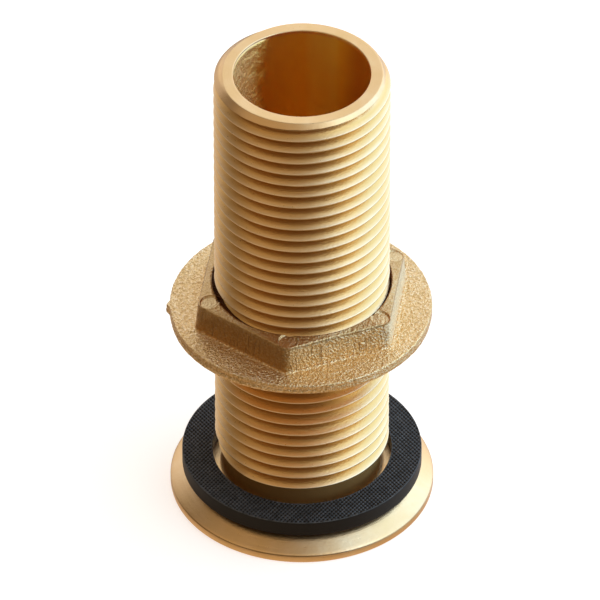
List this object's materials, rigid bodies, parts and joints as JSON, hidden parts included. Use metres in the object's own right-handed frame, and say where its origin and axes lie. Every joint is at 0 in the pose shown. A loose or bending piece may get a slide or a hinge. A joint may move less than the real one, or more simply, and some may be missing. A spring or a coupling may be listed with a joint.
{
  "type": "thru hull fitting",
  "caption": "Flanged brass tube with an outside thread, a flanged hex nut and a rubber gasket, clamped through a hull to pass water or a hose line.",
  "frame": {"origin": "centre of the flange's outer face, on the tube's axis, which is the middle of the bounding box's underside", "axes": "+Z along the tube, from the flange to the open threaded end; -Y is the side that is the front when the fitting stands on its flange; +X is right seen from the front"},
  "size_m": [0.0404, 0.0404, 0.0792],
  "materials": {
    "machined_brass": "bright turned brass with fine tool marks",
    "cast_brass": "grainy sand-cast skin, satin",
    "black_rubber": "matte black with a fine embossed pattern on top"
  },
  "bodies": {
    "threaded_body": {"threaded_body": "machined_brass"},
    "gasket": {"gasket": "black_rubber"},
    "flange_nut": {"flange_nut": "cast_brass"}
  },
  "joints": [
    {"name": "turn_about_tube", "type": "hinge", "parent": "threaded_body", "child": "gasket", "pos_m": [0, 0, 0.00515], "axis": [0, 0, 1], "range_deg": [-4500, 6720]},
    {"name": "nut_travel", "type": "slide", "parent": "gasket", "child": "flange_nut", "axis": [0, 0, 1], "range_m": [-0.0266, 0.0396]}
  ],
  "couplings": [
    {"joint": "nut_travel", "follows": "turn_about_tube", "m_per_rad": 0.00033688}
  ]
}
